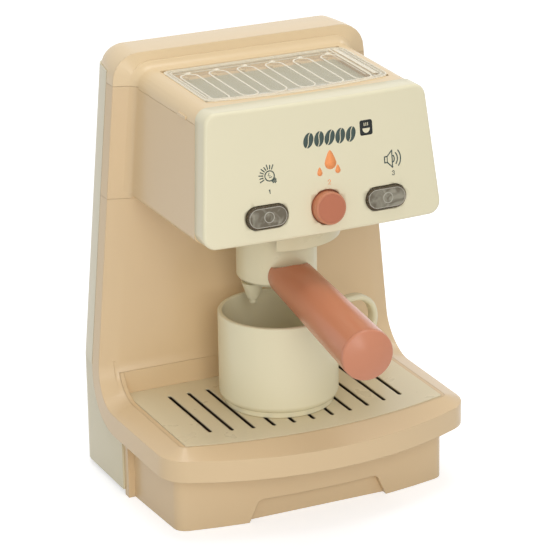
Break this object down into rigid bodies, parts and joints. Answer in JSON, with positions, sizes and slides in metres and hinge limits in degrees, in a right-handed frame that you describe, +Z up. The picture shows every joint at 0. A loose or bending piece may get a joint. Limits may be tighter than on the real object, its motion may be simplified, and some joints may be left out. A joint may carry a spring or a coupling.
{
  "type": "toy coffee maker",
  "caption": "Toy espresso machine: flared tower with a hooded head, push buttons, turning filter holder, cup, slotted drip tray and battery base.",
  "frame": {"origin": "on the standing face, in the middle plane, behind the battery door", "axes": "+X to the right seen from the front, -Y to the front, +Z up"},
  "size_m": [0.172, 0.2031, 0.229],
  "materials": {
    "beige_shell": "moulded, satin gloss",
    "cream_shell": "moulded, satin gloss",
    "sand_cover": "moulded, satin gloss",
    "ivory_panel": "moulded, gloss",
    "terracotta": "moulded, satin gloss",
    "stone_tray": "moulded, satin gloss",
    "cup_plastic": "moulded, gloss",
    "clear_plastic": "clear, polished",
    "grey_tray": "moulded, matt",
    "dark_plastic": "moulded, matt",
    "board_green": "lacquered sheet",
    "led_white": "clear, diffuse",
    "screw_steel": "zinc plated",
    "contact_steel": "nickel plated",
    "cell_jacket": "plain printed jacket",
    "speaker_paper": "pressed cone",
    "magnet_iron": "plain"
  },
  "bodies": {
    "housing": {"front_frame": "beige_shell", "rear_housing": "cream_shell", "top_cover": "sand_cover", "head_housing": "beige_shell", "front_panel": "ivory_panel", "window_tray": "grey_tray", "top_window": "clear_plastic", "switch_bodies": "dark_plastic", "button_leds": "led_white", "control_board": "board_green", "group_collar": "ivory_panel", "drip_tray": "beige_shell", "drip_grille": "stone_tray", "base_plate": "cream_shell", "battery_box": "cream_shell", "battery_cells": "cell_jacket", "battery_contacts": "contact_steel", "speaker_frame": "dark_plastic", "speaker_cone": "speaker_paper", "speaker_magnet": "magnet_iron", "tower_screws": "screw_steel", "base_screws": "screw_steel", "board_screws": "screw_steel", "collar_screws": "screw_steel"},
    "brew_button_body": {"brew_button": "terracotta", "brew_plunger": "dark_plastic"},
    "light_button_body": {"light_button": "clear_plastic", "light_plunger": "dark_plastic"},
    "sound_button_body": {"sound_button": "clear_plastic", "sound_plunger": "dark_plastic"},
    "filter_holder": {"filter_basket": "ivory_panel", "basket_spouts": "ivory_panel", "basket_handle": "terracotta", "handle_cap": "terracotta", "handle_screw": "screw_steel"},
    "cup_body": {"cup": "cup_plastic"},
    "battery_door_body": {"battery_door": "cream_shell", "battery_door_screw": "screw_steel"}
  },
  "joints": [
    {"name": "brew_press", "type": "slide", "parent": "housing", "child": "brew_button_body", "axis": [0, 0.9911, -0.1335], "range_m": [0, 0.0015], "stiffness_N_per_m": 800, "springref_m": -0.0005},
    {"name": "light_press", "type": "slide", "parent": "housing", "child": "light_button_body", "axis": [0, 0.9911, -0.1335], "range_m": [0, 0.0015], "stiffness_N_per_m": 800, "springref_m": -0.0005},
    {"name": "sound_press", "type": "slide", "parent": "housing", "child": "sound_button_body", "axis": [0, 0.9911, -0.1335], "range_m": [0, 0.0015], "stiffness_N_per_m": 800, "springref_m": -0.0005},
    {"name": "holder_turn", "type": "hinge", "parent": "housing", "child": "filter_holder", "pos_m": [0, -0.0114, 0.13], "axis": [0, 0, -1], "range_deg": [-6, 70]},
    {"name": "cup_slide", "type": "slide", "parent": "housing", "child": "cup_body", "axis": [0, -1, 0], "range_m": [0, 0.09]},
    {"name": "battery_door_off", "type": "slide", "parent": "housing", "child": "battery_door_body", "axis": [0, 0, -1], "range_m": [0, 0.02]}
  ]
}
